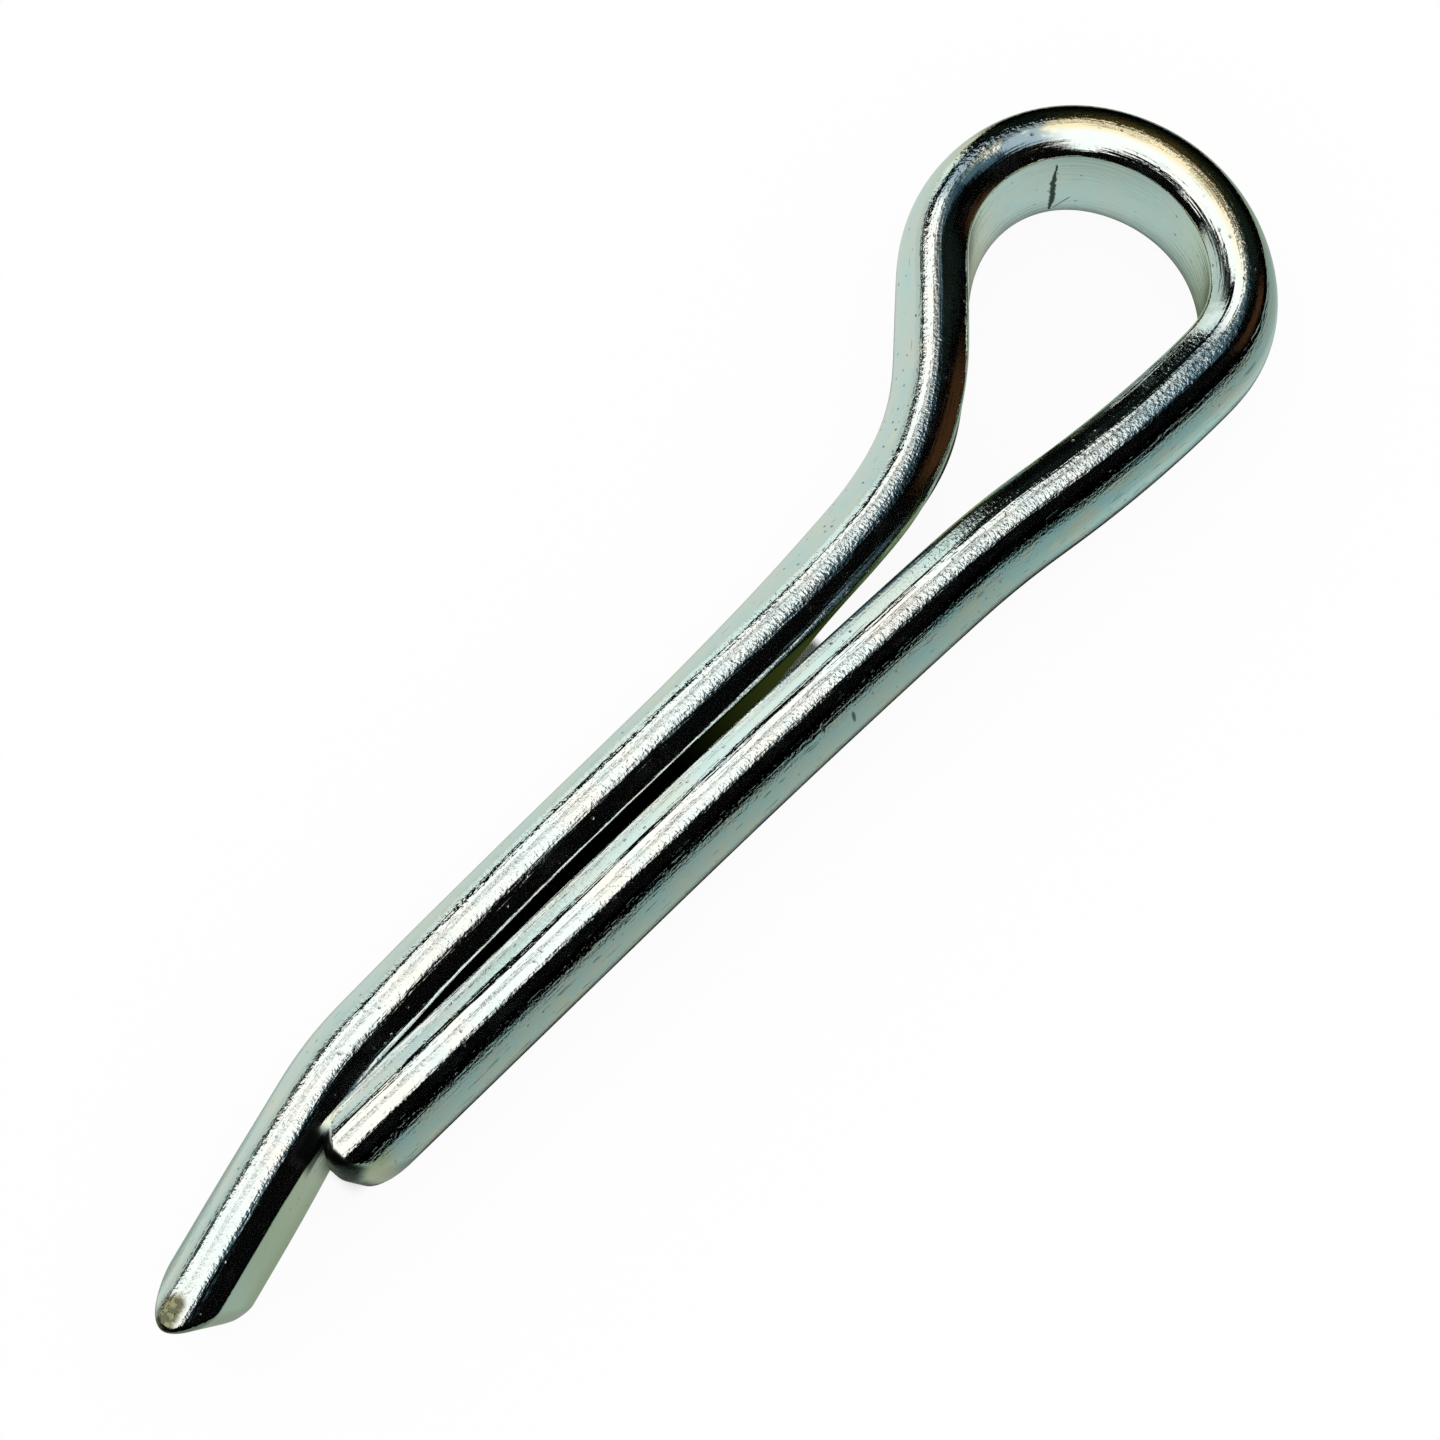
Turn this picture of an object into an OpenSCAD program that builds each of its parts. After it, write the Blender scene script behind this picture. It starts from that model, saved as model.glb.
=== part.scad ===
// Cotter pin: one length of half-round wire, folded back on itself round an
// open eye. The flats of the two legs face each other and together make the
// round shank; the long leg runs on past the short one and is set across it.
//
// Frame: X runs along the shank, the eye at +X and the leg ends at -X.
// Z is the axis of the eye. The origin is on the shank axis, mid grip.

/* [Wire] */

// Width over both legs, flats closed together, in mm
shank_d = 4.41; // [3.6:0.01:5.2]

/* [Shank] */

// Gap between the two flats at the origin, in mm
grip_gap = 0.07; // [0.06:0.01:0.4]

// Angle each straight leg opens from the shank axis towards the eye, in degrees
lean_angle = 0.28; // [0:0.02:0.5]

// Length from under the eye to the end of the short leg, in mm
length = 25.25; // [20:0.05:40]

// Straight part of the short leg beyond the origin, in mm
short_lead = 4.3; // [1:0.1:10]

// Start of the lock bend on the long leg, ahead of the short leg's end, in mm
lock_lead = 3.1; // [1.5:0.1:5]

/* [Throat, below the eye] */

// Radius on which the short leg leaves its straight part, in mm
ease_r = 360; // [200:5:600]

// Angle of that first easy curve, in degrees
ease_angle = 2.1; // [0.5:0.02:3]

// Radius of the outward swell at the throat, in mm
swell_r = 33; // [20:1:60]

// Angle of the swell, in degrees
swell_angle = 6.05; // [3:0.05:9]

// Radius of the lower side of the eye, in mm
belly_r = 46.5; // [30:0.5:80]

// Angle of the lower side of the eye, in degrees
belly_angle = 8.8; // [5:0.1:12]

/* [Eye] */

// Inside radius of the tight bend at the foot of the eye, in mm
heel_r = 2.25; // [1.6:0.05:3]

// Angle of the tight bend, in degrees
heel_angle = 38.4; // [25:0.1:50]

// Inside radius of the crown, in mm
crown_r = 4.14; // [3:0.02:5.5]

// Angle of the crown, in degrees
crown_angle = 83.8; // [60:0.1:100]

// Inside radius of the shoulder after the crown, in mm
shoulder_r = 2.93; // [2:0.01:4]

// Angle of the shoulder, in degrees
shoulder_angle = 49.7; // [35:0.1:60]

// Inside radius where the eye turns down into the cheek, in mm
cheek_r = 3.58; // [2.4:0.02:5]

/* [Neck, above the throat] */

// Slope of the straight cheek against the shank axis, in degrees
cheek_angle = 40.4; // [32:0.2:50]

// Radius of the neck where the cheek flows into the long leg, in mm
neck_r = 10.9; // [6:0.1:16]

// Slope of the long leg as it leaves the neck, in degrees
mouth_angle = 4.44; // [3:0.02:6]

// Radius on which that slope dies away along the long leg, in mm
mouth_r = 139; // [90:1:200]

/* [Leg ends] */

// Inside radius of the lock bend, in mm
lock_r = 8.3; // [5:0.1:12]

// Angle of the lock bend, in degrees
lock_angle = 14.2; // [8:0.1:18]

// Long leg beyond the lock bend, measured on its round side, in mm
tip_run = 6.65; // [3:0.05:9]

// Slant of the cut on the long leg, in degrees off square
tip_angle = 20; // [5:1:35]

// Radius that breaks the round side of the long leg's end, in mm
tip_r = 0.9; // [0.4:0.05:1.4]

// Radius that breaks the round side of the short leg's end, in mm
nose_r = 1.9; // [0.8:0.05:2.1]

// Room left between the short leg's bevelled end and the set leg, in mm
end_room = 0.06; // [0.04:0.01:0.3]

/* [Hidden] */

$fa = 6;
$fs = 0.1;

wire_t = shank_d / 2;            // thickness, flat to crown of the round

// Corner arcs are tangent both to the flat and to the round: their centre,
// the centre of the round and the flat make a 12:35:37 right triangle.
corner_r = wire_t * 12 / 49;
corner_z = wire_t * 35 / 49;

lean = tan(lean_angle);

// A path row is [length, 0] for a straight, [radius, turn] for a bend;
// a positive turn keeps the flat on the inside.
// A pose is [x, y, heading] of the middle of the flat.
function step(p, row) =
    row[1] == 0
    ? [p.x + row[0] * cos(p.z), p.y + row[0] * sin(p.z), p.z]
    : let (rho = sign(row[1]) * row[0], q = p.z + row[1])
      [p.x + rho * (sin(q) - sin(p.z)), p.y - rho * (cos(q) - cos(p.z)), q];

function walk(p, rows, i = 0) =
    i == len(rows) ? p : walk(step(p, rows[i]), rows, i + 1);

// The eye starts to swell here, and a hole's edge comes to rest.
under_eye = walk([short_lead, 0, -lean_angle], [[ease_r, -ease_angle]]).x;
short_reach = length - under_eye;

start = [-short_reach, short_reach * lean - grip_gap / 2, -lean_angle];

// Short leg and eye, up to the straight cheek.
rise = [
    [(short_reach + short_lead) / cos(lean_angle), 0],
    [ease_r, -ease_angle],
    [swell_r, -swell_angle],
    [belly_r, belly_angle],
    [heel_r, heel_angle],
    [crown_r, crown_angle],
    [shoulder_r, shoulder_angle]
];
shoulder_end = walk(start, rise);
cheek_turn = 180 + cheek_angle - shoulder_end.z;
cheek_top = step(shoulder_end, [cheek_r, cheek_turn]);

// Neck and mouth, as a shift from the foot of the cheek.
fall = [
    [neck_r, -(cheek_angle - mouth_angle)],
    [mouth_r, -(mouth_angle - lean_angle)]
];
drop = walk([0, 0, 180 + cheek_angle], fall);

// The cheek is as long as brings the long leg's flat onto its own line,
// grip_gap / 2 above the shank axis at the origin.
cheek_run = (cheek_top.y + drop.y - grip_gap / 2 - (cheek_top.x + drop.x) * lean)
            / (sin(cheek_angle) - cos(cheek_angle) * lean);
long_lead = cheek_top.x - cheek_run * cos(cheek_angle) + drop.x;

path = concat(
    rise,
    [[cheek_r, cheek_turn], [cheek_run, 0]],
    fall,
    [[(long_lead + short_reach - lock_lead) / cos(lean_angle), 0], [lock_r, lock_angle], [tip_run, 0]]
);

reach = 12 * shank_d;            // side of the half-space blocks
spare = 4;                       // degrees a bend is turned past each end
lap = 1;

// Every second row of the path is drawn in by a hair all round and runs a
// little way into both its neighbours, so that no two rows share a wall.
hair = shank_d / 441;
bite = 3 * hair;

// Half-round section: flat on x = trim, round side towards +x.
module wire_section(trim) {
    intersection() {
        circle(r = wire_t - trim);
        polygon([[12, -35] * trim / 12, [12, -35] * wire_t / 20,
                 [2, -1.75] * wire_t, [2, 1.75] * wire_t,
                 [12, 35] * wire_t / 20, [12, 35] * trim / 12]);
    }
    for (s = [-1, 1])
        translate([corner_r, s * corner_z]) circle(r = corner_r - trim);
    polygon([[trim, -corner_z], [corner_r, -corner_z], [corner_r / 2, 0],
             [corner_r, corner_z], [trim, corner_z]]);
}

// Moves its children from the start of a path row to its end.
module beyond(row) {
    if (row[1] == 0)
        translate([row[0], 0, 0]) children();
    else
        translate([0, sign(row[1]) * row[0], 0])
            rotate([0, 0, row[1]])
                translate([0, -sign(row[1]) * row[0], 0]) children();
}

module ahead() translate([0, -reach / 2, -reach / 2]) cube(reach);
module behind() translate([-reach, -reach / 2, -reach / 2]) cube(reach);

module straight(length, trim, over) {
    translate([-over, 0, 0]) rotate([-90, 0, 0]) rotate([0, 90, 0])
        linear_extrude(height = length + 2 * over) wire_section(trim);
}

// A bend is turned a little too far both ways, then cut square where its
// neighbours start and end.
module bend(row, trim, over) {
    side = sign(row[1]);
    intersection() {
        translate([0, side * row[0], 0])
            rotate([0, 0, side > 0 ? -90 - spare : 90 + row[1] - spare])
                rotate_extrude(angle = abs(row[1]) + 2 * spare)
                    translate([row[0], 0]) rotate(side > 0 ? 0 : 180)
                        wire_section(trim);
        translate([-over, 0, 0]) ahead();
        beyond(row) translate([over, 0, 0]) behind();
    }
}

module piece(row, inner) {
    if (row[1] == 0) straight(row[0], inner * hair, inner * bite);
    else bend(row, inner * hair, inner * bite);
}

module sweep(rows, i = 0) {
    if (i < len(rows)) {
        difference() {
            piece(rows[i], i % 2);
            if (i == 0) short_end_waste();
            if (i == len(rows) - 1) beyond(rows[i]) long_end_waste();
        }
        beyond(rows[i]) sweep(rows, i + 1);
    }
}

// Waste outside an arc that breaks the corner between an end face on x = 0
// and the round side of the wire; the wire lies towards +x and -y.
module corner_waste(radius) {
    c = radius * cos(15);
    translate([0, 0, -wire_t - lap]) linear_extrude(height = 2 * (wire_t + lap))
        difference() {
            translate([c - radius - lap, c - wire_t - radius - lap]) square(radius + lap);
            translate([c, c - wire_t]) circle(r = radius);
        }
}

// How far the set leg has come across at the end of the short one.
set_fall = lock_lead < lock_r * sin(lock_angle)
    ? lock_r - sqrt(lock_r * lock_r - lock_lead * lock_lead)
    : lock_r * (1 - cos(lock_angle))
      + (lock_lead - lock_r * sin(lock_angle)) * tan(lock_angle);
bevel = max(set_fall + end_room + 2 * short_reach * lean - grip_gap, end_room);

// Rounded nose, and the bevel on the flat that lets the set leg past.
module short_end_waste() {
    corner_waste(nose_r);
    translate([0, 0, -wire_t - lap]) linear_extrude(height = 2 * (wire_t + lap))
        polygon([[-lap, -bevel * (1 + lap / lock_lead)], [lock_lead, 0],
                 [lock_lead, lap], [-lap, lap]]);
}

// Rounded edge and slanted cut; the wire lies towards -x.
module long_end_waste() {
    rotate([0, 180, 0]) {
        corner_waste(tip_r);
        translate([0, -wire_t, 0]) rotate([0, 0, -tip_angle])
            translate([-reach, -reach / 2, -reach / 2]) cube(reach);
    }
}

module cotter_pin() {
    color([0.80, 0.84, 0.80])
    translate([start.x, start.y, 0]) rotate([0, 0, start.z]) sweep(path);
}

cotter_pin();
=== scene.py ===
"""Cotter pin of half-round zinc-plated wire, dressed over its CAD solid. Sizes of the wire are in
millimetres; meshes and the studio are in metres, in the CAD's frame."""
import math

import bpy
import numpy as np
from bpy.props import FloatProperty, FloatVectorProperty, PointerProperty
from mathutils import Matrix, Vector


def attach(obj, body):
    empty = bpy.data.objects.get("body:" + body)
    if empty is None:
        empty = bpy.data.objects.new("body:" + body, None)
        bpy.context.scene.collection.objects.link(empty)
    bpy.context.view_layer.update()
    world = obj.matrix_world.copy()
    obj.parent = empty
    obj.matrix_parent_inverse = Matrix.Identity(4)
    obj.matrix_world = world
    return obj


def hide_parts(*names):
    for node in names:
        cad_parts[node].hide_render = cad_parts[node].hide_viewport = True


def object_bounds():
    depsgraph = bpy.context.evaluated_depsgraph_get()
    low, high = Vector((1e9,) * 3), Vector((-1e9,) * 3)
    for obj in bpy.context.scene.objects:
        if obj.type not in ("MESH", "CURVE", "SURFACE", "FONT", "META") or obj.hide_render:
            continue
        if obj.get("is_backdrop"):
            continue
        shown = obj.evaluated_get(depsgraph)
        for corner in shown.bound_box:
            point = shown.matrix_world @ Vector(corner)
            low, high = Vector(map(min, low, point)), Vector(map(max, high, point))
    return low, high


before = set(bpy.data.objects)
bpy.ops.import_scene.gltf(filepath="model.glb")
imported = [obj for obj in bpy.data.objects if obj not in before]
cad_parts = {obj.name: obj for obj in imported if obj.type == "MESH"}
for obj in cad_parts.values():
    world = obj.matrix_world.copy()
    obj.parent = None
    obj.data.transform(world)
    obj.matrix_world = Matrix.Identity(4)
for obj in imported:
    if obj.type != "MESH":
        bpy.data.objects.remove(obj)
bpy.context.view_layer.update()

bl_info = {
    "name": "Cotter Pin",
    "version": (1, 0, 0),
    "blender": (4, 5, 0),
    "location": "View3D > Sidebar > Cotter Pin",
    "description": "Builds a zinc-plated split cotter pin with a set end, and a studio for it",
    "category": "Object",
}

MM = 0.001
NODE = "cotter_pin"


# ---------------------------------------------------------------- settings

class WireSettings(bpy.types.PropertyGroup):
    """Sizes of the half-round wire and the fineness of its skin."""
    thickness: FloatProperty(
        name="Thickness", description="Flat to crown of the round, in millimetres",
        default=2.205, min=1.0, max=4.0)
    pitch: FloatProperty(
        name="Ring Pitch", description="Distance between the rings of the skin, in millimetres",
        default=0.115, min=0.05, max=1.0)


class FinishSettings(bpy.types.PropertyGroup):
    """Colours and gloss of the plating."""
    plate: FloatVectorProperty(
        name="Plate", description="Bright zinc", subtype="COLOR", size=3, min=0, max=1,
        default=(0.88, 0.91, 0.885))
    mint: FloatVectorProperty(
        name="Mint Film", description="Where the film is thick", subtype="COLOR", size=3,
        min=0, max=1, default=(0.84, 0.92, 0.91))
    straw: FloatVectorProperty(
        name="Straw Film", description="Where the film is thin", subtype="COLOR", size=3,
        min=0, max=1, default=(0.94, 0.91, 0.83))
    roughness: FloatProperty(
        name="Roughness", description="Gloss of the plating", subtype="FACTOR",
        default=0.05, min=0, max=1)
    peel: FloatProperty(
        name="Orange Peel", description="Depth of the fine grain, in millimetres",
        default=0.011, min=0, max=0.1)
    drawn: FloatProperty(
        name="Drawing Lines", description="Depth of the lines left by the die, in millimetres",
        default=0.011, min=0, max=0.1)


class StageSettings(bpy.types.PropertyGroup):
    """Camera and its target."""
    azimuth: FloatProperty(
        name="Azimuth", description="Direction of the camera round Z",
        subtype="ANGLE", unit="ROTATION", default=-2.3993)
    elevation: FloatProperty(
        name="Elevation", description="Height of the camera above the floor plane",
        subtype="ANGLE", unit="ROTATION", default=1.191)
    roll: FloatProperty(
        name="Roll", description="Turn of the camera about its own axis",
        subtype="ANGLE", unit="ROTATION", default=0.021)
    focal: FloatProperty(
        name="Focal Length", description="In millimetres, on a 36 mm wide sensor", default=112.6)
    distance: FloatProperty(
        name="Distance", description="Camera to its target", unit="LENGTH", default=0.1309)
    target: FloatVectorProperty(
        name="Target", description="Point at the middle of the picture",
        subtype="TRANSLATION", unit="LENGTH", size=3, default=(0.00946, 0.00065, 0.0))


# ---------------------------------------------------------------- shader maths

class Sock:
    """One socket of a shader tree. Arithmetic on it adds Math nodes."""

    def __init__(self, tree, socket):
        self.tree, self.socket = tree, socket

    def _do(self, operation, *args, clamp=False):
        settings = {"operation": operation, "use_clamp": clamp}
        return self.tree.node("ShaderNodeMath", settings, dict(enumerate(args)))

    def __add__(self, o): return self._do("ADD", self, o)
    def __radd__(self, o): return self._do("ADD", o, self)
    def __sub__(self, o): return self._do("SUBTRACT", self, o)
    def __rsub__(self, o): return self._do("SUBTRACT", o, self)
    def __mul__(self, o): return self._do("MULTIPLY", self, o)
    def __rmul__(self, o): return self._do("MULTIPLY", o, self)
    def __truediv__(self, o): return self._do("DIVIDE", self, o)
    def __pow__(self, o): return self._do("POWER", self, o)
    def __neg__(self): return self._do("MULTIPLY", self, -1.0)
    def clamp(self): return self._do("ADD", self, 0.0, clamp=True)
    def abs(self): return self._do("ABSOLUTE", self)
    def least(self, o): return self._do("MINIMUM", self, o)
    def most(self, o): return self._do("MAXIMUM", self, o)


class Tree:
    """Node tree of a material or a world, with one method that adds any node."""

    def __init__(self, holder):
        holder.use_nodes = True
        self.holder = holder
        self.nt = holder.node_tree
        self.nt.nodes.clear()

    def node(self, kind, settings=None, inputs=None, out=0):
        """Adds a node with its settings and inputs, each a socket or a value, and gives back one
        of its outputs."""
        n = self.nt.nodes.new(kind)
        for key, value in (settings or {}).items():
            setattr(n, key, value)
        for key, value in (inputs or {}).items():
            if isinstance(value, Sock):
                self.nt.links.new(value.socket, n.inputs[key])
            elif isinstance(value, tuple) and n.inputs[key].type == "RGBA":
                n.inputs[key].default_value = (*value, 1.0)
            else:
                n.inputs[key].default_value = value
        return Sock(self, n.outputs[out]) if n.outputs else n

    def coords(self):
        return self.node("ShaderNodeTexCoord", out="Object")

    def parts(self, vector):
        first = self.node("ShaderNodeSeparateXYZ", {}, {0: vector})
        return [Sock(self, o) for o in first.socket.node.outputs]

    def join(self, x, y, z):
        return self.node("ShaderNodeCombineXYZ", {}, {0: x, 1: y, 2: z})

    def ramp(self, factor, stops):
        """Straight blend through colours, each given with its place from 0 to 1."""
        made = self.node("ShaderNodeValToRGB", {}, {0: factor})
        elements = made.socket.node.color_ramp.elements
        while len(elements) < len(stops):
            elements.new(0.5)
        for element, (place, colour) in zip(elements, stops):
            element.position, element.color = place, (*colour, 1.0)
        return made

    def span(self, value, lo, hi):
        """Smooth step: 0 at lo, 1 at hi."""
        return self.node("ShaderNodeMapRange", {"interpolation_type": "SMOOTHSTEP"},
                         {0: value, 1: lo, 2: hi})

    def within(self, value, lo0, lo1, hi0, hi1):
        """Rises from 0 to 1 between lo0 and lo1 and falls back between hi0 and hi1."""
        return self.span(value, lo0, lo1) * (1 - self.span(value, hi0, hi1))

    def stripe(self, distance, core, rim):
        """1 up to the core on both sides of a line, 0 from the rim on."""
        return 1 - self.span(distance.abs(), core, rim)

    def noise(self, where, scale, detail=2.0, rough=0.5):
        return self.node("ShaderNodeTexNoise", {}, {
            "Vector": where, "Scale": scale, "Detail": detail, "Roughness": rough})

    def mix(self, factor, a, b):
        return self.node("ShaderNodeMix", {"data_type": "RGBA"}, {0: factor, 6: a, 7: b}, out=2)

    def layers(self, base, coats):
        """Lays coats over a base colour, each given as its amount and its colour."""
        for amount, colour in coats:
            base = self.mix(amount, base, colour)
        return base

    def attribute(self, name):
        return self.node("ShaderNodeAttribute", {"attribute_name": name}, out="Fac")

    def finish(self, kind, shader):
        """Links a shader to the tree's output."""
        self.node(kind, {}, {"Surface": shader})


# ---------------------------------------------------------------- the wire's path and section

# Stretches of the flat's middle line, from the short leg's end to the long leg's: what each one
# is, its length in millimetres and its turn in degrees.
STRETCHES = [
    ("short leg, straight", 12.05, 0.0),
    ("short leg, easy curve", 13.16, -1.9),
    ("throat, outward swell", 3.59, -6.4),
    ("lower side of the eye", 6.83, 9.6),
    ("heel of the eye", 1.64, 42.0),
    ("crown of the eye", 5.80, 80.7),
    ("shoulder of the eye", 2.54, 49.6),
    ("bend into the cheek", 3.00, 47.9),
    ("cheek, straight", 2.98, 0.0),
    ("neck, upper half", 3.95, -22.4),
    ("neck, lower half", 2.84, -14.1),
    ("long leg, easy curve", 8.86, -4.1),
    ("long leg, straight", 12.10, 0.0),
    ("lock bend", 2.14, 15.1),
    ("set end, straight", 7.37, 0.0),
]
PATH = np.array([row[1:] for row in STRETCHES])
LENGTH = PATH[:, 0].sum()

# The short leg's end: x and y of the flat in millimetres, and the heading there in degrees.
START = (-7.75, -0.008, -0.42)

# How the wire was turned about itself by the bending tool: place along it in millimetres, turn
# in degrees that tips the flat's upper edge over, and how far the wire stands out in millimetres.
TWIST = np.array([
    (44.5, 0.0, 0.0), (46.0, -2.0, 0.0), (47.8, -5.5, 0.0), (49.3, -2.5, 0.0),
    (51.5, 0.0, 0.0), (53.5, 1.0, 0.0), (55.0, 6.0, 0.03), (56.0, 10.0, 0.08),
    (57.0, 12.5, 0.105), (58.0, 14.0, 0.105), (60.0, 14.5, 0.09), (62.0, 12.0, 0.07),
    (64.0, 7.0, 0.06), (67.0, 1.0, 0.0), (72.0, -2.0, -0.01), (77.0, 0.0, 0.0),
    (79.5, 6.0, 0.0), (82.0, 3.0, 0.0), (84.5, 0.0, 0.0),
])

# The section's upper half, from the flat to the crown: the normal's angle off the flat's plane
# where each arc ends, in degrees, the arc's radius in millimetres, and its number of steps.
ARC_ENDS = np.radians([-90.0, -48.0, -38.0, -28.0, 13.0, 59.3, 90.0])
ARC_RADII = np.array([0.20, 0.78, 2.40, 1.10, 0.70, 3.62])
ARC_STEPS = (6, 4, 7, 12, 11, 10)
FLAT_STEPS = 17

# The short leg's end, the nose: how far it stands back at the flat and at the round, the depth
# from the flat where it is foremost, the depth over which the round side is ground away, and how
# far it leans forward for each millimetre of height, up to a height.
NOSE_FLAT_BACK, NOSE_ROUND_BACK = 0.81, 1.45
NOSE_FOREMOST, NOSE_GROUND = 1.0, 1.2
NOSE_LEAN, NOSE_LEAN_TOP = 0.30, 0.8
NOSE_FILLET = 0.42

# The long leg's end, the tip: the same, as a wedge.
TIP_FLAT_BACK, TIP_ROUND_BACK = 0.80, 1.1
TIP_FOREMOST = 1.04
TIP_LEAN = 0.36
TIP_FILLET = 0.30

# Rings that close both ends, how far along the wire an end's line reaches, and where the cap's
# middle lies, as a share of the thickness.
FILLET_RINGS = 8
CAP_RINGS = 9
END_REACH = 3.2
CAP_MIDDLE = 0.45


def soften(values, step, width, reach):
    """Weighs each value with its neighbours, up to `reach` steps each way, by a bell curve."""
    bell = np.exp(-0.5 * (np.arange(-reach, reach + 1) * step / width) ** 2)
    return np.convolve(np.pad(values, reach, mode="edge"), bell / bell.sum(), "valid")


def wire_twist(run, step=0.05, soft=0.8, reach=60, spare=4.0):
    """Turn in radians and stand-out in millimetres at each place, from the rows of TWIST joined
    by straight lines and softened by a bell."""
    fine = np.arange(-spare, LENGTH + spare, step)
    turn, push = (soften(np.interp(fine, TWIST[:, 0], TWIST[:, i]), step, soft, reach)
                  for i in (1, 2))
    return np.radians(np.interp(run, fine, turn)), np.interp(run, fine, push)


def wire_line(step=0.02, soft=0.35, spare=2.0):
    """Middle line of the flat: the heading is the running sum of the stretches' turns, softened
    by a bell so that bends fade in and out; the place is the running sum of the heading's cosine
    and sine. Returns run, x, y and heading as four arrays."""
    run = np.linspace(-spare, LENGTH + spare, int(round((LENGTH + 2 * spare) / step)) + 1)
    step = run[1] - run[0]
    ends = np.concatenate([[-spare, 0.0], np.cumsum(PATH[:, 0]), [LENGTH + spare]])
    turns = np.concatenate([[0.0, 0.0], np.cumsum(PATH[:, 1]), [PATH[:, 1].sum()]])
    head = soften(np.interp(run, ends, np.radians(turns)), step, soft, int(4 * soft / step))
    head += math.radians(START[2])
    mid = 0.5 * (head[1:] + head[:-1])
    x = np.concatenate([[0.0], np.cumsum(np.cos(mid)) * step])
    y = np.concatenate([[0.0], np.cumsum(np.sin(mid)) * step])
    return run, x - np.interp(0.0, run, x) + START[0], y - np.interp(0.0, run, y) + START[1], head


def wire_section(thick):
    """Closed half-round outline of six tangent arcs a side. Along an arc of radius r the normal
    turns by the angle a, so u grows by r times the change of sin a and z by r times the change
    of cos a; the flat closes the outline on u = 0. Returns u, z, and the outward normal's u
    and z."""
    radii = ARC_RADII * thick / np.sum(ARC_RADII * np.diff(np.sin(ARC_ENDS)))
    spans = [np.linspace(a, b, n, endpoint=False)
             for a, b, n in zip(ARC_ENDS[:-1], ARC_ENDS[1:], ARC_STEPS)]
    turn = np.concatenate(spans + [ARC_ENDS[-1:]])
    owner = np.append(np.repeat(np.arange(len(ARC_STEPS)), ARC_STEPS), len(ARC_STEPS) - 1)
    u_at = np.concatenate([[0.0], np.cumsum(radii * np.diff(np.sin(ARC_ENDS)))])
    drop = radii * -np.diff(np.cos(ARC_ENDS))
    z_at = np.concatenate([-np.cumsum(drop[::-1])[::-1], [0.0]])
    u = u_at[owner] + radii[owner] * (np.sin(turn) - np.sin(ARC_ENDS[owner]))
    z = -z_at[owner] - radii[owner] * (np.cos(ARC_ENDS[owner]) - np.cos(turn))
    nu, nz = np.sin(turn), np.cos(turn)
    flat = np.linspace(-z[0], z[0], FLAT_STEPS + 1)[1:-1]
    none = np.zeros_like(flat)
    return (np.concatenate([u, u[-2::-1], none]), np.concatenate([z, -z[-2::-1], flat]),
            np.concatenate([nu, nu[-2::-1], none - 1.0]), np.concatenate([nz, -nz[-2::-1], none]))


def nose_line(u, z):
    """How far the short leg's end stands back at distance u from the flat and height z: a cut
    that leans forward at the top, set back at the flat's edge, and ground away with the fourth
    power towards the round side."""
    flat_side = NOSE_FLAT_BACK * np.clip(NOSE_FOREMOST - u, 0, 1) ** 1.3
    round_side = NOSE_ROUND_BACK * np.clip((u - NOSE_FOREMOST) / NOSE_GROUND, 0, 1.02) ** 4
    return flat_side + round_side - NOSE_LEAN * np.minimum(z, NOSE_LEAN_TOP)


def tip_line(u, z):
    """How far the long leg's end stands back: a blunt wedge, foremost in the middle of the
    wire's thickness and falling back on both sides with nearly the square of the distance, that
    leans forward at the top."""
    side = np.where(u < TIP_FOREMOST, TIP_FLAT_BACK, TIP_ROUND_BACK)
    return side * np.abs(u - TIP_FOREMOST) ** 1.88 - TIP_LEAN * z


def end_rings(stand_back, fillet, section, thick):
    """Rings that close one end, from the cap's middle outwards: the cap's rings shrink to one
    point, and the fillet's rings are drawn in on a quarter circle. Each ring is how far its
    points stand back, their u and z, and 1 on the cap or the fillet's cosine."""
    u0, z0, nu, nz = section
    middle = CAP_MIDDLE * thick
    rings = []
    for share in np.arange(CAP_RINGS) / CAP_RINGS:
        u = middle + (u0 - nu * fillet - middle) * share
        z = (z0 - nz * fillet) * share
        rings.append((stand_back(np.clip(u, 0, thick), z), u, z, 1.0))
    for a in np.radians(np.linspace(0, 90, FILLET_RINGS)):
        inset = fillet * (1 - math.sin(a))
        u, z = u0 - nu * inset, z0 - nz * inset
        back = stand_back(np.clip(u, 0, thick), z) + fillet * (1 - math.cos(a))
        rings.append((back, u, z, math.cos(a)))
    return rings


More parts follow.
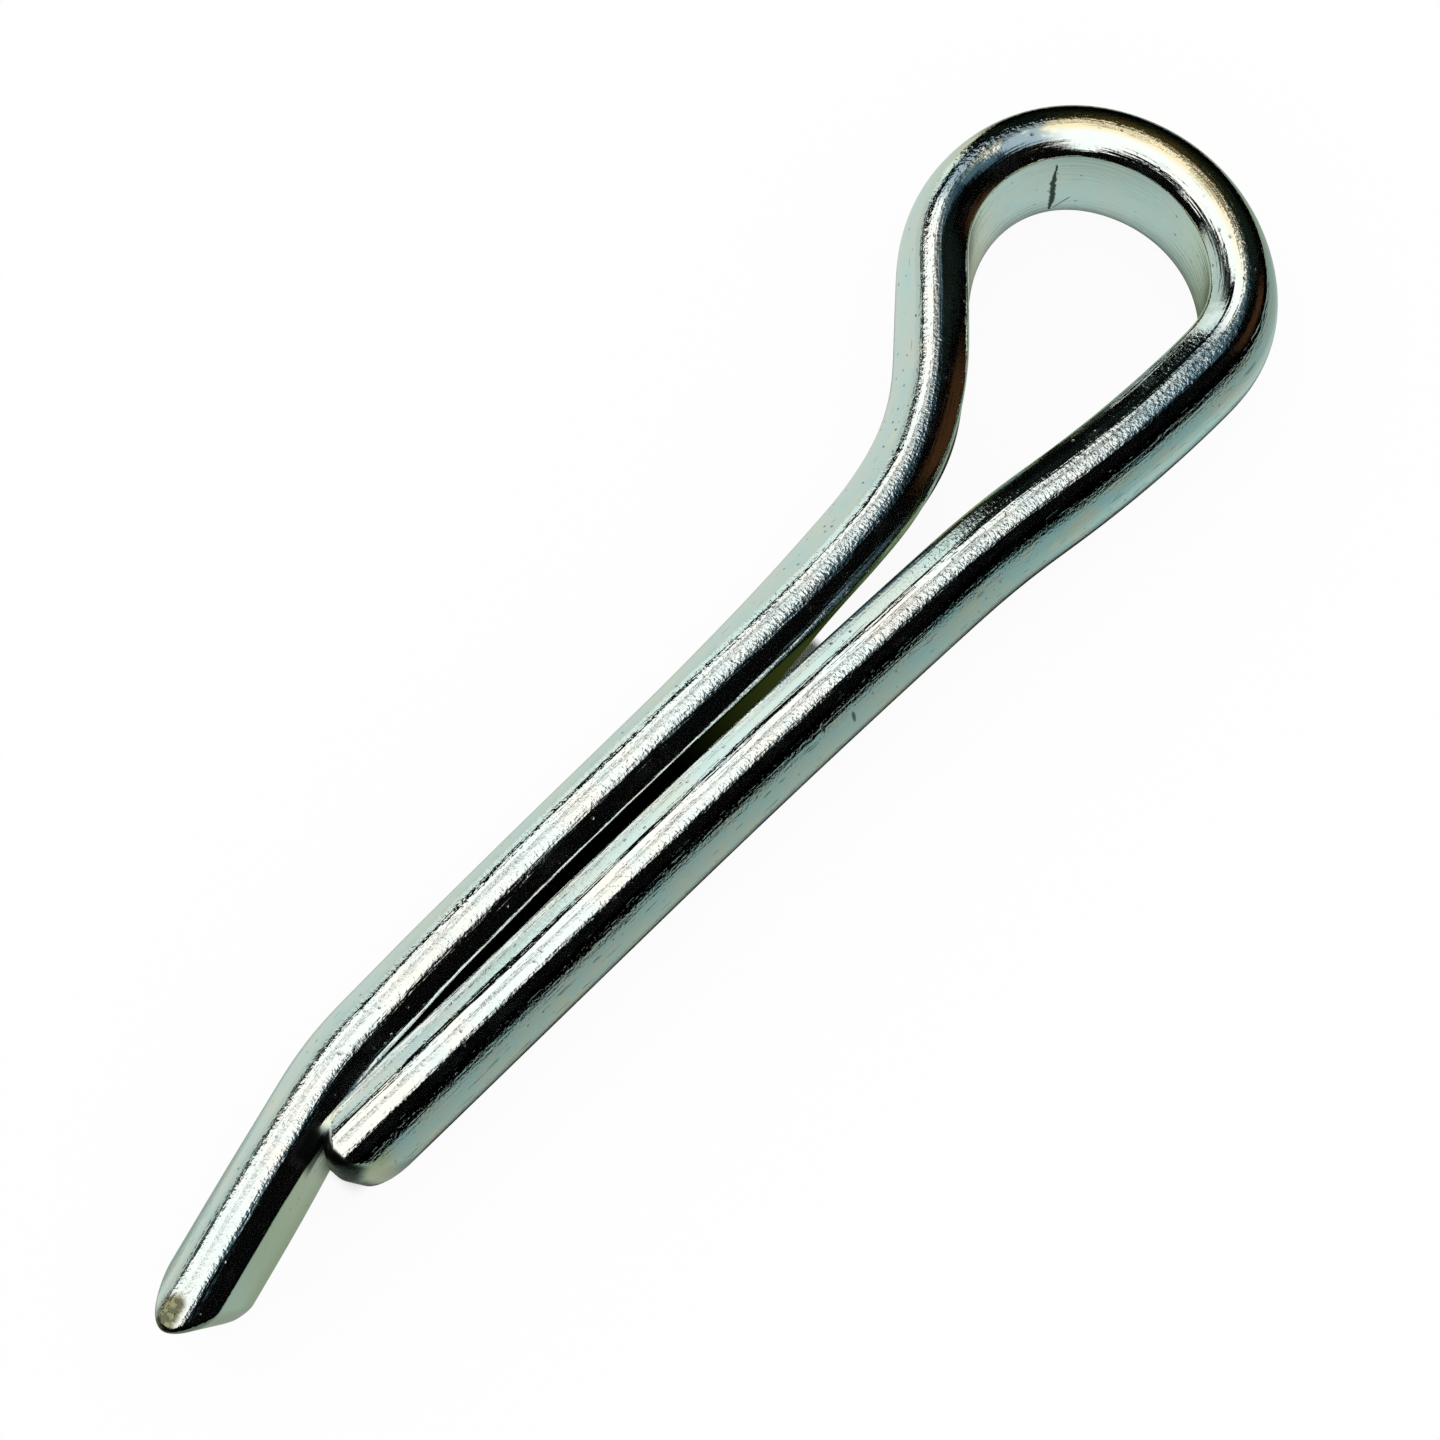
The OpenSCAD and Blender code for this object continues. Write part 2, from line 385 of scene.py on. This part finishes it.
def wire_mesh(s):
    """Skin of the wire: the section is carried along the middle line, square to it, and rolled
    about it. Near an end each point is slid along the wire by the end's own line. Gives the
    vertices, the faces, and for each vertex the place along the wire, the depth from the flat
    and the share of the cut end."""
    section = u0, z0, nu, nz = wire_section(s.thickness)
    n = len(u0)
    rings = end_rings(nose_line, NOSE_FILLET, section, s.thickness)

    def fade(d):
        t = np.clip(1 - d / END_REACH, 0, 1)
        return t * t * (3 - 2 * t)

    inside = np.clip(u0, 0, s.thickness)
    nose, tip = nose_line(inside, z0), tip_line(inside, z0)
    body = np.linspace(NOSE_FILLET, LENGTH - TIP_FILLET, int(round(LENGTH / s.pitch)) + 1)[1:-1]
    for d in body:
        slid = d + nose * fade(d - NOSE_FILLET) - tip * fade(LENGTH - TIP_FILLET - d)
        rings.append((slid, u0, z0, 0.0))
    rings += [(LENGTH - back, u, z, cut) for back, u, z, cut
              in end_rings(tip_line, TIP_FILLET, section, s.thickness)[::-1]]

    place, depth, height = (np.array([ring[i] for ring in rings]) for i in range(3))
    cut = np.repeat([[ring[3]] for ring in rings], n, 1)
    line_run, line_x, line_y, line_head = wire_line()
    x, y, head = (np.interp(place, line_run, a) for a in (line_x, line_y, line_head))
    turn, push = wire_twist(place)
    mid = 0.5 * s.thickness
    out = mid + push + (depth - mid) * np.cos(turn) - height * np.sin(turn)
    rise = height * np.cos(turn) + (depth - mid) * np.sin(turn)
    points = np.stack([x + np.sin(head) * out, y - np.cos(head) * out, rise], -1)

    # the first and the last ring are single points: one vertex is kept of each
    def poles_once(a):
        return np.concatenate([a[0, :1], a[1:-1].reshape(-1, *a.shape[2:]), a[-1, :1]])

    verts = poles_once(points) * MM
    m = len(points)
    j, k = np.meshgrid(np.arange(m - 3), np.arange(n), indexing="ij")
    a = 1 + j * n + k
    b = 1 + j * n + (k + 1) % n
    quads = np.stack([a, b, b + n, a + n], -1).reshape(-1, 4)
    k = np.arange(n)
    last = 1 + (m - 3) * n
    first_fan = np.stack([np.zeros(n, int), 1 + (k + 1) % n, 1 + k], -1)
    last_fan = np.stack([np.full(n, len(verts) - 1), last + k, last + (k + 1) % n], -1)
    data = {"run": poles_once(place), "depth": poles_once(depth), "cut": poles_once(cut)}
    return verts, quads, np.concatenate([first_fan, last_fan]), data


def make_object(name, verts, quads, tris, data):
    """Puts the arrays into a mesh object at the origin, shaded smooth."""
    mesh = bpy.data.meshes.new(name)
    mesh.vertices.add(len(verts))
    mesh.vertices.foreach_set("co", verts.ravel())
    loops = np.concatenate([quads.ravel(), tris.ravel()])
    sizes = np.concatenate([np.full(len(quads), 4), np.full(len(tris), 3)])
    mesh.loops.add(len(loops))
    mesh.loops.foreach_set("vertex_index", loops)
    mesh.polygons.add(len(sizes))
    mesh.polygons.foreach_set("loop_start", np.concatenate([[0], np.cumsum(sizes)[:-1]]))
    mesh.update(calc_edges=True)
    mesh.validate()
    mesh.shade_smooth()
    for key, values in data.items():
        layer = mesh.attributes.new(key, "FLOAT", "POINT")
        layer.data.foreach_set("value", values.astype(np.float32))
    obj = bpy.data.objects.new(name, mesh)
    bpy.context.scene.collection.objects.link(obj)
    return obj


# ---------------------------------------------------------------- the plating

# Tints of the film, of its stains and of the marks.
BLUE_GREY = (0.64, 0.76, 0.80)
PALE_BLUE = (0.66, 0.92, 0.98)
AQUA = (0.72, 0.96, 1.0)
TEAL = (0.30, 0.46, 0.52)
NAVY = (0.20, 0.33, 0.42)
PALE_MINT = (0.80, 0.96, 0.86)
MOSS = (0.74, 0.83, 0.60)
DARK_MOSS = (0.42, 0.50, 0.28)
# the olive paints the shaded slit's reflection on the long leg's flat
OLIVE_SLIT_REFLECTION = (0.62, 0.66, 0.36)
WARM_GREY = (0.90, 0.87, 0.82)
CREAM = (1.0, 0.98, 0.68)
PALE_STRAW = (1.0, 0.98, 0.74)
GOLD = (0.90, 0.77, 0.47)
BRASS = (0.92, 0.84, 0.56)
BARE_STEEL = (0.31, 0.30, 0.17)
# the next two also paint the shade at the short leg's end and on the long leg's rim next to it
DIRT_AND_SHADE = (0.055, 0.075, 0.065)
SHEARED_STEEL_AND_SHADE = (0.012, 0.015, 0.012)

# Stretches of the wire with a tint, a wear or a painted shade of their own, in millimetres along
# it.
FLANK_STREAKS = (22.5, 34.0)
BELLY_DARK_PATCH = (31.8, 35.8)
INSIDE_EYE = (34.0, 53.0)
EYE_CROWN = (38.0, 46.0)
SHOULDER_DARK_PATCH = (44.2, 47.4)
NECK = (47.5, 60.0)
THROAT_FLAT = (54.0, 69.0)
SHADE_BESIDE_NOSE = (82.55, 83.7)

# Single marks: place along the wire, and for the two large pits the depth from the flat too.
CRACK_AT = 44.12
FORK_AT = 44.05
NICK_AT = 37.55
BIG_PITS = ((18.67, 1.86), (19.75, 2.08))


class WireTree(Tree):
    """Node tree that knows where on the wire a point lies, in millimetres: `run` along the wire,
    `depth` from the flat, `z` above the middle. `cut` is 1 on the cut ends, `long_half` on the
    long leg's half of the wire, `flat` on the flat, and `outer` on the flank by the crown of the
    round. `cloud` and `patchy` are soft noises and `chips` a hard one."""

    def __init__(self, holder):
        super().__init__(holder)
        self.run, self.depth, self.cut = (self.attribute(k) for k in ("run", "depth", "cut"))
        self.z = self.parts(self.coords())[2] * (1 / MM)
        self.where = self.join(self.run, self.depth, self.z)
        self.long_half = self.span(self.run, 40.0, 41.0)
        self.flat = 1 - self.span(self.depth, 0.01, 0.06)
        self.outer = self.span(self.depth, 1.5, 1.85)
        self.cloud = self.noise(self.where, 0.55)
        self.patchy = self.noise(self.join(self.run * 0.6, self.depth, self.z), 1.5, 3.0, 0.6)
        self.chips = self.span(self.noise(self.where, 3.5, 2.0, 0.6), 0.40, 0.52)

    def part(self, lo, hi, soft):
        """1 on the stretch from lo to hi, with ends that fade over `soft` each way."""
        return self.within(self.run, lo - soft, lo + soft, hi - soft, hi + soft)

    def line(self, distance, width):
        """1 on a line, 0 from its width on."""
        return self.stripe(distance, width * 0.45, width)


def cut_facet(t):
    """Small facet that the cutter left on the very tip of the long leg."""
    along = t.run - (t.depth - 1.1).abs() * 0.7
    return t.span(along, LENGTH - 0.55, LENGTH - 0.25) * t.within(t.depth, 0.70, 0.95, 1.30, 1.55)


def film(t, s, facet):
    """Colour of the zinc under its clear film: mint where the film is thick, straw where it is
    thin, and patches of other tints along the wire. The olive on the long leg's flat by the slit is
    a painted reflection of the shaded slit."""
    cloud, patchy, flat, outer, run, depth = t.cloud, t.patchy, t.flat, t.outer, t.run, t.depth
    streaks = t.span(patchy + t.line(run - 27.6, 1.6) * 0.12, 0.47, 0.58)
    gold = t.part(*EYE_CROWN, 2.0) * t.span(depth, 0.60, 0.85) * t.span(cloud + patchy, 0.66, 0.92)
    eye_ends = t.within(run, 45.6, 48.4, 50.0, 53.0).most(1 - t.span(run, 37.2, 40.6))
    navy = t.part(*SHOULDER_DARK_PATCH, 0.5) * t.within(depth, 0.34, 0.50, 1.2, 1.4)
    teal = t.part(*BELLY_DARK_PATCH, 0.9) * t.span(depth, 0.45, 0.6) * (1 - outer)
    flank_rim = (1 - t.span(run, 0.8, 1.6)) * t.span(depth, 1.75, 1.95)
    flat_rim = (1 - t.span(run, 0.6, 1.3)) * (1 - t.span(depth, 0.2, 0.5))
    low_edge = t.span(run, 79.0, 80.0) * (1 - t.span(t.z, -1.5, 0.1))
    return t.layers(tuple(s.plate), [
        (t.span(cloud, 0.42, 0.62), tuple(s.mint)),
        (t.span(cloud, 0.50, 0.30) * 0.6, tuple(s.straw)),
        (t.span(patchy, 0.56, 0.66) * 0.30, BLUE_GREY),
        # along the short leg's flank, round the eye, and on the flat inside the eye
        (t.part(*FLANK_STREAKS, 1.5) * outer * streaks * 0.75, PALE_BLUE),
        (gold * 0.9, GOLD),
        (flat * eye_ends * t.part(*INSIDE_EYE, 1.0) * 0.85, CREAM),
        # on the long leg's flat, from the throat to the set end
        # painted reflection: olive on the flat stands for the dark, shaded slit that it mirrors
        (flat * t.part(*THROAT_FLAT, 1.5) * 0.8, OLIVE_SLIT_REFLECTION),
        (flat * t.span(run, 80.0, 81.0) * 0.9, WARM_GREY),
        (flat * t.span(run, 82.2, 84.2) * 0.9, MOSS),
        (flat * t.span(run, 86.2, 87.8) * 0.9, PALE_MINT),
        (flat * low_edge * 0.55, DARK_MOSS),
        # mottling of the flank
        (outer * t.span(patchy, 0.46, 0.60) * 0.55, AQUA),
        (outer * t.span(patchy, 0.44, 0.32) * 0.5, PALE_STRAW),
        # darker navy and teal patches that dim the highlight on the eye's shoulder and on its lower
        # side
        (navy * t.span(patchy, 0.38, 0.50) * 0.85, NAVY),
        (teal * (t.span(patchy, 0.42, 0.54) * 0.6 + 0.4) * 0.75, TEAL),
        # the ends
        (flank_rim.most(flat_rim) * 0.8, BRASS),
        (facet.most(t.cut * t.long_half), BARE_STEEL),
    ])


def pits_and_dashes(t):
    """Round pits picked from the cells of a Voronoi pattern, two large ones of their own, and
    short scratches along the flank."""
    run, depth, z, outer = t.run, t.depth, t.z, t.outer
    cells = t.node("ShaderNodeTexVoronoi", {}, {"Vector": t.where, "Scale": 3.2})
    pick = t.parts(Sock(t, cells.socket.node.outputs["Color"]))[0]
    worn = t.span(t.noise(t.where, 0.9), 0.42, 0.58)
    share = (worn * 0.6 + t.part(*NECK, 2.0) * outer).clamp()
    pits = (1 - t.span(cells, 0.10, 0.20)) * t.span(pick, 0.55, 0.60) * share
    for at_run, at_depth in BIG_PITS:
        away = (run - at_run) ** 2.0 + (depth - at_depth) ** 2.0
        pits = pits.most(1 - t.span(away, 0.002, 0.007))
    streaky = t.noise(t.join(run * 0.9, depth * 7.0, z * 7.0), 1.0, 2.0, 0.6)
    return (pits * 0.8).most(t.span(streaky, 0.665, 0.70) * outer * 0.45)


def eye_folds(t):
    """Crack across the flat inside the eye, with a fork at its foot, and a nick farther round."""
    run, z, flat = t.run, t.z, t.flat
    wander = (t.noise(t.join(z, 0.0, 3.0), 2.2, 2.0, 0.6) - 0.5) * 0.22
    width = 0.045 + t.line(z + 0.35, 1.2) * 0.075
    crack = t.line(run - CRACK_AT + wander, width) * t.within(z, -1.56, -1.5, 1.15, 1.4)
    fork = t.line(run - FORK_AT + (z + 1.5) * 0.75, 0.035) * t.within(z, -1.5, -1.44, -0.95, -0.75)
    nick = t.line(run - NICK_AT - (z + 1.3) * 0.35, 0.06) * (1 - t.span(z, -1.2, -0.9))
    return crack.most(fork * 0.7).most(nick * 0.7) * flat


def sheared_end_and_shade(t):
    """Dark ring round the short leg's end: the bare steel of the shear cut, and towards the flat a
    painted shadow. Next to it, a painted shade darkens the long leg's rim as if the short leg's end
    shaded it.
    """
    cut_band_and_shade = t.span(t.cut, 0.15, 0.5) * (1 - t.long_half)
    # from depth 0.4 towards the flat the dark ring is a painted shadow, not cut steel
    cut_band_and_shade = cut_band_and_shade * t.within(t.depth, 0.40, 0.60, 1.75, 1.95) * (1 - t.chips * 0.15)
    # painted shade: the long leg's rim next to the short leg's end is darkened where that end would
    # shade it
    painted_shade_beside = t.part(*SHADE_BESIDE_NOSE, 0.25) * (1 - t.span(t.depth, 0.40, 0.55)) * t.span(t.z, 0.8, 1.2)
    return cut_band_and_shade.most(painted_shade_beside * 0.85)


def plating(s):
    """Bright zinc plate under a clear film. Its orange peel, drawing lines and marks are bumps, and
    the marks are dull and dark too. Among the marks is a painted shade at the short leg's end and
    on the long leg's rim next to it."""
    t = WireTree(bpy.data.materials.new("bright_zinc_plate"))
    sheared_and_shade, facet = sheared_end_and_shade(t), cut_facet(t)
    # the painted shade at the short leg's end joins the marks here, darkened, dulled and bumped
    # with them
    marks_and_shade = pits_and_dashes(t).most(eye_folds(t)).most(sheared_and_shade).most(facet * t.chips * 0.6).clamp()
    tint = t.layers(film(t, s, facet), [(marks_and_shade, DIRT_AND_SHADE), (sheared_and_shade, SHEARED_STEEL_AND_SHADE)])

    # the grain is full on the round, reaches nearer the flat from the neck on, and is weak by it
    grainy = t.span(t.depth, 0.85, 1.15).most(t.span(t.depth, 0.5, 0.7) * t.span(t.run, 50.0, 54.0))
    peel = t.noise(t.where, 9.0) * (0.35 + grainy * 0.65)
    drawn = t.noise(t.join(t.run * 0.09, t.depth * 1.6, t.z * 1.6), 5.0, 2.0, 0.55)

    bump = t.node("ShaderNodeBump", {}, {
        "Height": peel, "Strength": 1.0, "Distance": s.peel * MM})
    bump = t.node("ShaderNodeBump", {}, {
        "Height": drawn, "Strength": 1.0, "Distance": s.drawn * MM, "Normal": bump})
    bump = t.node("ShaderNodeBump", {"invert": True}, {
        "Height": marks_and_shade, "Strength": 0.6, "Distance": 0.02 * MM, "Normal": bump})
    rough = s.roughness + marks_and_shade * 0.35 + t.span(t.patchy, 0.5, 0.7) * 0.05
    t.finish("ShaderNodeOutputMaterial", t.node("ShaderNodeBsdfPrincipled", {}, {
        "Base Color": tint, "Metallic": 1.0, "Roughness": rough, "Normal": bump}))
    return t.holder


class OBJECT_OT_cotter_wire(bpy.types.Operator):
    """Build the pin: one half-round wire folded round its eye"""
    bl_idname = "object.cotter_wire"
    bl_label = "Cotter Pin Wire"

    def execute(self, context):
        scene = context.scene
        obj = make_object("pin_wire", *wire_mesh(scene.pin_wire))
        obj.data.materials.append(plating(scene.pin_finish))
        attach(obj, "root")
        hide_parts(NODE)
        return {"FINISHED"}


# ---------------------------------------------------------------- studio

SENSOR_WIDTH = 36.0
BLACK = (0.0, 0.0, 0.0)
WHITE = (1.0, 1.0, 1.0)
BOX_WHITE = (1.13, 1.13, 1.09)


def camera_axes(az, el, roll):
    """Right, up and back directions of a camera that looks at the target from azimuth and
    elevation, then rolls about its own axis."""
    back = Vector((math.cos(az) * math.cos(el), math.sin(az) * math.cos(el), math.sin(el)))
    right = Vector((0, 0, 1)).cross(back).normalized()
    up = back.cross(right)
    c, r = math.cos(roll), math.sin(roll)
    return c * right + r * up, c * up - r * right, back


def studio_air(world):
    """What the pin's gloss sees of the room, by direction. x and y are the level parts of the
    direction over its upright part, and side is the one level part over the other. Two soft white
    boxes and a slim one hang overhead, a pale wall stands on the long leg's side, and the rest is
    dark. Everything else sees an even white."""
    t = Tree(world)
    dx, dy, dz = t.parts(t.node("ShaderNodeTexCoord", out="Generated"))
    up = dz.most(0.02)
    x, y = dx / up, dy / up
    side = dx / dy.most(0.02)
    above = t.span(dz, 0.0, 0.05)

    # the dark room, a little greener far off, with an olive strip low down
    far = t.span(dz, 0.1, 0.75) * t.span(x, 0.2, 1.2) * t.span(y + x * 0.5, 0.0, 0.5)
    olive = t.span(y - x * 0.42, -0.12, 0.0) * (1 - t.span(y - x * 0.62, 0.0, 0.18))
    olive = olive * t.within(x, 0.3, 0.5, 0.9, 1.6) * above
    shine = t.layers((0.001, 0.0012, 0.001), [
        (far, (0.006, 0.013, 0.010)), (olive, (0.045, 0.034, 0.008))])

    # the pale wall, with a dark patch high on it and two faint seams
    wall = 1 - t.span(side - (dz - 0.3).most(0.0) * 0.3, 0.395, 0.435)
    wall = wall * t.span(side, -0.95, -0.62) * t.span(dy, 0.02, 0.06) * (1 - t.span(dz, 0.54, 0.58))
    patch = (1 - t.span(side, 0.10, 0.20)) * t.span(dz + side * 0.12, 0.36, 0.46)
    seam = t.stripe(side + 0.05 + dz * 0.02, 0.015, 0.05) * 0.40 * t.span(dz, 0.2, 0.6)
    seam = seam.most(t.stripe(side - 0.20, 0.02, 0.06) * 0.22)
    pale = t.mix(t.span(side, 0.06, 0.20) * t.span(dz, -0.1, 0.3),
                 (0.50, 0.59, 0.54), (0.80, 0.93, 0.88))
    shine = t.mix(wall * (1 - patch * 0.86) * (1 - seam), shine, pale)

    # the boxes overhead, with a blue rim on the large one and two dark lines across it
    lean = x + (-y).most(0.0) * 0.16 - y.most(0.0).least(0.6) * 0.22
    large = (1 - t.span(lean, 0.345, 0.425)) * t.span(x + y.abs() * 0.15, -0.85, -0.65)
    large = large * t.span(y - x * 0.25, -0.78, -0.44) * (1 - t.span(y, 0.80, 0.88)) * above
    back = t.within(x, -2.2, -1.6, 0.02, 0.10) * t.span(y, 0.5, 0.6)
    back = back * (1 - t.span(dz, 0.68, 0.62)) * above
    slim = t.span(x, 0.38, 0.42) * (1 - t.span(x - y * 0.15, 0.38, 0.44))
    slim = slim * t.within(y, 0.36, 0.42, 0.68, 0.78) * 0.8
    off_bar = (y - 0.34 + x * 0.08).abs() - t.span(x, 0.0, 0.4) * 0.03
    bar = 1 - t.span(off_bar, 0.015, 0.045)
    hair = t.stripe(y - 0.17, 0.020, 0.045) * t.span(x, 0.10, 0.16)
    lines = (bar * t.span(x, -0.25, 0.30) * 0.80).most(hair * 0.55)
    rim = (1 - t.span(lean, 0.46, 0.68)) * t.within(y, -0.75, -0.50, 0.20, 0.30) * above
    shine = t.layers(shine, [
        (rim * t.span(x, 0.28, 0.38), (0.075, 0.135, 0.17)),
        (large.most(back).most(slim).clamp() * (1 - lines), BOX_WHITE)])

    gloss = t.node("ShaderNodeLightPath", out="Is Glossy Ray")
    t.finish("ShaderNodeOutputWorld", t.node("ShaderNodeBackground", {}, {
        "Color": t.mix(gloss, WHITE, shine), "Strength": 1.0}))


def grid(centre, half, flare, count):
    """Square mesh in the plane z = centre z: along each side the place is half times t plus
    flare times the ninth power of t, so it is fine in the middle and wide at the rim."""
    t = np.linspace(-1, 1, count)
    gx, gy = np.meshgrid(*(c + h * t + flare * t ** 9 for c, h in zip(centre, half)),
                         indexing="ij")
    verts = np.stack([gx, gy, np.full_like(gx, centre[2])], -1).reshape(-1, 3)
    i, j = np.meshgrid(np.arange(count - 1), np.arange(count - 1), indexing="ij")
    a = i * count + j
    quads = np.stack([a, a + count, a + count + 1, a + 1], -1).reshape(-1, 4)
    return verts, quads, np.zeros((0, 3), int)


def pale_floor(low):
    """White floor. Part of its white is its own, so that it stays white to the eye, to gloss and
    to glass while the pin's shadow still shows. The narrow strip under the slit between the legs
    has none of its own, so the slit stays dark."""
    floor = make_object("floor", *grid((0.0, 0.0, low), (0.3, 0.3), 0.3, 9), {})
    t = Tree(bpy.data.materials.new("pale_floor"))
    camera, gloss, glass = (t.node("ShaderNodeLightPath", out=k)
                            for k in ("Is Camera Ray", "Is Glossy Ray", "Is Transmission Ray"))
    matt = t.node("ShaderNodeBsdfDiffuse", {}, {"Color": (0.97, 0.97, 0.97)})
    own = t.node("ShaderNodeEmission", {}, {"Color": WHITE, "Strength": 1.0})
    x, y, z = t.parts(t.coords())
    slit = (1 - t.span(y.abs(), 0.0009, 0.0015)) * t.within(x, -0.0078, -0.0068, 0.0137, 0.0141)
    seen = camera.most(gloss).most(glass) * 0.94 * (1 - slit)
    t.finish("ShaderNodeOutputMaterial",
             t.node("ShaderNodeMixShader", {}, {0: seen, 1: matt, 2: own}))
    floor.data.materials.append(t.holder)
    floor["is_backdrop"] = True


def only_in_gloss(card, t, colour):
    """Gives a card its glow and hides it from everything but the pin's gloss."""
    t.finish("ShaderNodeOutputMaterial",
             t.node("ShaderNodeEmission", {}, {"Color": colour, "Strength": 1.0}))
    t.holder.cycles.emission_sampling = "NONE"
    card.data.materials.append(t.holder)
    card.visible_camera = card.visible_diffuse = False
    card.visible_transmission = card.visible_shadow = False
    card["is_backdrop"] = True


def bench_card(low):
    """Card that lies on the floor and shows only in the pin's gloss: pale on the long leg's side,
    and on the other side grey by the pin and dark farther off. It is black under the wire and in
    the slit, a painted shadow, and olive where the slit opens, a painted shade. Its attribute
    "near" is the distance from the wire in millimetres."""
    half_wire, every, batches = 1.1, 25, 12
    verts, quads, tris = grid((0.010, 0.0, low + 0.02 * MM), (0.032, 0.02), 0.65, 151)
    run, x, y, h = wire_line()
    keep = (run > 0) & (run < LENGTH)
    wire = np.stack([x + half_wire * np.sin(h), y - half_wire * np.cos(h)], -1)[keep][::every] * MM
    gap = np.full(len(verts), 1.0)
    for piece in np.array_split(wire, batches):
        away = np.hypot(verts[:, None, 0] - piece[:, 0], verts[:, None, 1] - piece[:, 1])
        gap = np.minimum(gap, np.min(away, 1))
    card = make_object("bench_card", verts, quads, tris, {"near": gap / MM - half_wire})

    t = Tree(bpy.data.materials.new("bench_card"))
    near = t.attribute("near")
    x, y, z = t.parts(t.coords())
    dark = t.ramp(near / 12.0, [
        (0.0, (0.34, 0.40, 0.34)), (0.20, (0.28, 0.36, 0.32)), (0.42, (0.23, 0.31, 0.285)),
        (0.53, (0.19, 0.26, 0.24)), (0.57, (0.02, 0.03, 0.025)), (0.62, BLACK)])
    by_the_eye = t.span(x, 0.018, 0.026) * (1 - t.span(near, 0.8, 2.6))
    long_leg_side = t.span(y, 0.0028, 0.0046) * (1 - t.span(x - y * 0.53, 0.0235, 0.0265))
    open_card = t.layers(dark, [(by_the_eye, (0.42, 0.54, 0.50)),
                                (long_leg_side, (0.59, 0.66, 0.60))])
    # painted shadow: the card is black under the wire and in the slit, and dark olive where the
    # slit opens, as the shaded floor there
    slit = (1 - t.span(y.abs(), 0.0006, 0.0010)) * t.within(x, -0.0080, -0.0070, 0.0150, 0.0170)
    clear = t.span(near, -0.15, 0.7).most(t.span(-x, 0.0045, 0.0075)) * (1 - slit)
    slit_mouth_shade = t.span(x, 0.008, 0.0140) * (1 - t.span(y.abs(), 0.0011, 0.0018))
    only_in_gloss(card, t, t.mix(clear, t.mix(slit_mouth_shade, BLACK, (0.034, 0.046, 0.010)), open_card))


def copper_card(low):
    """Upright card by the eye, brown like old copper, that shows only in the pin's gloss."""
    a, b, top = Vector((0.045, -0.040, low)), Vector((0.066, -0.010, low)), Vector((0, 0, 0.045))
    mesh = bpy.data.meshes.new("copper_card")
    mesh.from_pydata([tuple(v) for v in (a, b, b + top, a + top)], [], [(0, 1, 2, 3)])
    card = bpy.data.objects.new("copper_card", mesh)
    bpy.context.scene.collection.objects.link(card)
    t = Tree(bpy.data.materials.new("copper_card"))
    x, y, z = t.parts(t.coords())
    glow = t.within(z, -0.004, 0.008, 0.016, 0.030) * t.within(y, -0.040, -0.032, -0.020, -0.011)
    only_in_gloss(card, t, t.mix(glow, BLACK, (0.044, 0.019, 0.007)))


def studio_camera(scene, s):
    """Camera on its place round the target, as the stage settings say."""
    right, up, back = camera_axes(s.azimuth, s.elevation, s.roll)
    data = bpy.data.cameras.new("camera")
    data.sensor_width, data.lens = SENSOR_WIDTH, s.focal
    data.clip_start, data.clip_end = 0.005, 10.0
    cam = bpy.data.objects.new("camera", data)
    scene.collection.objects.link(cam)
    turned = Matrix((right, up, back)).transposed().to_4x4()
    cam.matrix_world = Matrix.Translation(Vector(s.target) + back * s.distance) @ turned
    return cam


class OBJECT_OT_pin_studio(bpy.types.Operator):
    """Build the floor, the cards, the light and the camera"""
    bl_idname = "object.pin_studio"
    bl_label = "Pin Studio"

    def execute(self, context):
        scene = context.scene
        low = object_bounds()[0].z
        pale_floor(low)
        bench_card(low)
        copper_card(low)
        scene.world = bpy.data.worlds.new("studio_air")
        studio_air(scene.world)
        scene.camera = studio_camera(scene, scene.pin_stage)
        scene.view_settings.view_transform = "Standard"
        return {"FINISHED"}


class VIEW3D_PT_cotter_pin(bpy.types.Panel):
    """Lists the steps that build the pin, and their settings"""
    bl_idname = "VIEW3D_PT_cotter_pin"
    bl_label = "Cotter Pin"
    bl_space_type = "VIEW_3D"
    bl_region_type = "UI"
    bl_category = "Cotter Pin"

    def draw(self, context):
        col = self.layout.column()
        for name, cls in SETTINGS.items():
            for key in cls.__annotations__:
                col.prop(getattr(context.scene, name), key)
        for op in STEPS:
            col.operator(op.bl_idname)


SETTINGS = {"pin_wire": WireSettings, "pin_finish": FinishSettings, "pin_stage": StageSettings}
STEPS = (OBJECT_OT_cotter_wire, OBJECT_OT_pin_studio)
CLASSES = (*SETTINGS.values(), *STEPS, VIEW3D_PT_cotter_pin)


def register():
    for cls in CLASSES:
        bpy.utils.register_class(cls)
    for key, cls in SETTINGS.items():
        setattr(bpy.types.Scene, key, PointerProperty(type=cls))


def unregister():
    for key in SETTINGS:
        delattr(bpy.types.Scene, key)
    for cls in reversed(CLASSES):
        bpy.utils.unregister_class(cls)


def main():
    register()
    bpy.ops.object.cotter_wire()
    bpy.ops.object.pin_studio()


if __name__ == "__main__":
    main()
